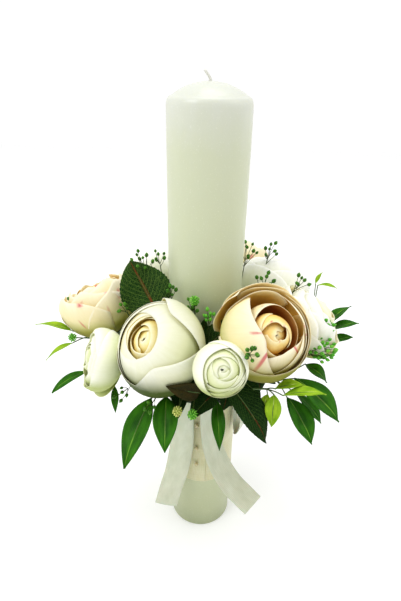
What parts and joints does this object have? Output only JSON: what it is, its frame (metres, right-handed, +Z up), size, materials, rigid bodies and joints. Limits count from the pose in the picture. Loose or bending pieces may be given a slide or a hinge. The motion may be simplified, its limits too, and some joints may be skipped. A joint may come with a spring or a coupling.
{
  "type": "unity candle",
  "caption": "Tall pillar candle with a satin-wrapped grip, a collar of artificial peonies and foliage, and hanging ribbon tails.",
  "frame": {"origin": "centre of the pillar's flat foot, on the surface that the candle stands on", "axes": "+Z up along the candle towards the wick, -Y is the front with the ribbon tails, +X to the right seen from the front"},
  "size_m": [0.3187, 0.2722, 0.4886],
  "materials": {
    "candle_wax": "smooth translucent wax",
    "wick_cotton": "braided waxed cotton",
    "wrap_satin": "cream ribbed satin",
    "ribbon_satin": "pale satin",
    "pearl": "pearl",
    "foam": "open floral foam",
    "tray_plastic": "dull moulded plastic",
    "petal_ivory": "printed polyester petals",
    "petal_peach": "printed polyester petals with amber hearts",
    "petal_white": "printed polyester petals",
    "petal_greenish": "printed polyester petals",
    "stem_plastic": "moulded plastic over wire",
    "leaf_rose": "printed polyester leaf",
    "leaf_bronze": "printed polyester leaf",
    "leaf_ruscus": "soft moulded leaf",
    "leaf_lime": "soft moulded leaflet",
    "bud_plastic": "small moulded buds"
  },
  "bodies": {
    "candle": {"pearl_pin_1": "pearl", "pearl_pin_2": "pearl", "pearl_pin_3": "pearl", "ribbon_wrap": "wrap_satin", "wick": "wick_cotton", "candle_pillar": "candle_wax", "ring_tray": "tray_plastic", "foam_ring": "foam", "ribbon_knot": "ribbon_satin", "ribbon_loop_right": "ribbon_satin", "peony_front_left_petals": "petal_ivory", "peony_front_left_heart": "petal_ivory", "peony_front_left_stem": "stem_plastic", "peony_front_right_petals": "petal_peach", "peony_front_right_heart": "petal_peach", "peony_front_right_stem": "stem_plastic", "peony_right_petals": "petal_white", "peony_right_heart": "petal_white", "peony_right_stem": "stem_plastic", "peony_left_petals": "petal_peach", "peony_left_heart": "petal_peach", "peony_left_stem": "stem_plastic", "peony_right_back_petals": "petal_white", "peony_right_back_heart": "petal_white", "peony_right_back_stem": "stem_plastic", "peony_back_left_petals": "petal_white", "peony_back_left_heart": "petal_white", "peony_back_left_stem": "stem_plastic", "peony_back_right_petals": "petal_peach", "peony_back_right_heart": "petal_peach", "peony_back_right_stem": "stem_plastic", "ranunculus_front_petals": "petal_greenish", "ranunculus_front_stem": "stem_plastic", "ranunculus_left_petals": "petal_greenish", "ranunculus_left_stem": "stem_plastic", "ranunculus_back_petals": "petal_greenish", "ranunculus_back_stem": "stem_plastic", "rose_leaf_left": "leaf_rose", "rose_leaf_centre": "leaf_rose", "rose_leaf_front": "leaf_rose", "rose_leaf_bronze": "leaf_bronze", "rose_leaf_under": "leaf_rose", "rose_leaf_back_left": "leaf_rose", "rose_leaf_back_right": "leaf_rose", "ruscus_front_left": "leaf_ruscus", "ruscus_front": "leaf_ruscus", "ruscus_front_right": "leaf_ruscus", "ruscus_right": "leaf_ruscus", "ruscus_left": "leaf_ruscus", "ruscus_back": "leaf_ruscus", "lime_leaf_left": "leaf_lime", "lime_leaf_front_right": "leaf_lime", "lime_leaf_right": "leaf_lime", "bud_sprig_left": "bud_plastic", "bud_sprig_front": "bud_plastic", "bud_sprig_back": "bud_plastic", "bud_sprig_right": "bud_plastic"},
    "tail_left": {"ribbon_tail_left": "ribbon_satin"},
    "tail_right": {"ribbon_tail_right": "ribbon_satin"}
  },
  "joints": [
    {"name": "ribbon_tail_left_swing", "type": "hinge", "parent": "candle", "child": "tail_left", "pos_m": [-0.021, -0.039, 0.196], "axis": [-1, 0, 0], "range_deg": [0, 40]},
    {"name": "ribbon_tail_right_swing", "type": "hinge", "parent": "candle", "child": "tail_right", "pos_m": [0.008, -0.041, 0.196], "axis": [-1, 0, 0], "range_deg": [0, 40]}
  ]
}
